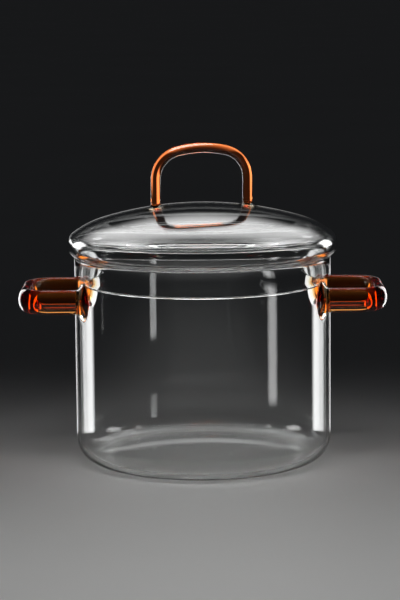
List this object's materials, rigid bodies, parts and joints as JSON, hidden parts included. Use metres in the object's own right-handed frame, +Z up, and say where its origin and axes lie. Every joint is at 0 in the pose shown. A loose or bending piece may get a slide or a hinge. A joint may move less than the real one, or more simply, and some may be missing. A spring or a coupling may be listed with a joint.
{
  "type": "glass saucepan with lid",
  "caption": "Straight-walled clear glass saucepan with two fused amber side handles, and a loose domed glass lid with an amber loop handle.",
  "frame": {"origin": "middle of the underside of the pot's flat base", "axes": "+X through the right side handle, +Y to the rear, +Z up along the pot's axis"},
  "size_m": [0.258, 0.1904, 0.2242],
  "materials": {
    "clear_glass": "clear borosilicate glass, fire polished",
    "amber_glass": "clear amber glass rod, fire polished"
  },
  "bodies": {
    "pot": {"pot_vessel": "clear_glass", "left_handle": "amber_glass", "right_handle": "amber_glass", "left_handle_front_weld": "clear_glass", "left_handle_rear_weld": "clear_glass", "right_handle_front_weld": "clear_glass", "right_handle_rear_weld": "clear_glass"},
    "lid": {"lid_dome": "clear_glass", "lid_handle": "amber_glass", "lid_handle_left_weld": "clear_glass", "lid_handle_right_weld": "clear_glass"}
  },
  "joints": [
    {"name": "lid_lift", "type": "slide", "parent": "pot", "child": "lid", "axis": [0, 0, 1], "range_m": [0, 0.15]}
  ]
}
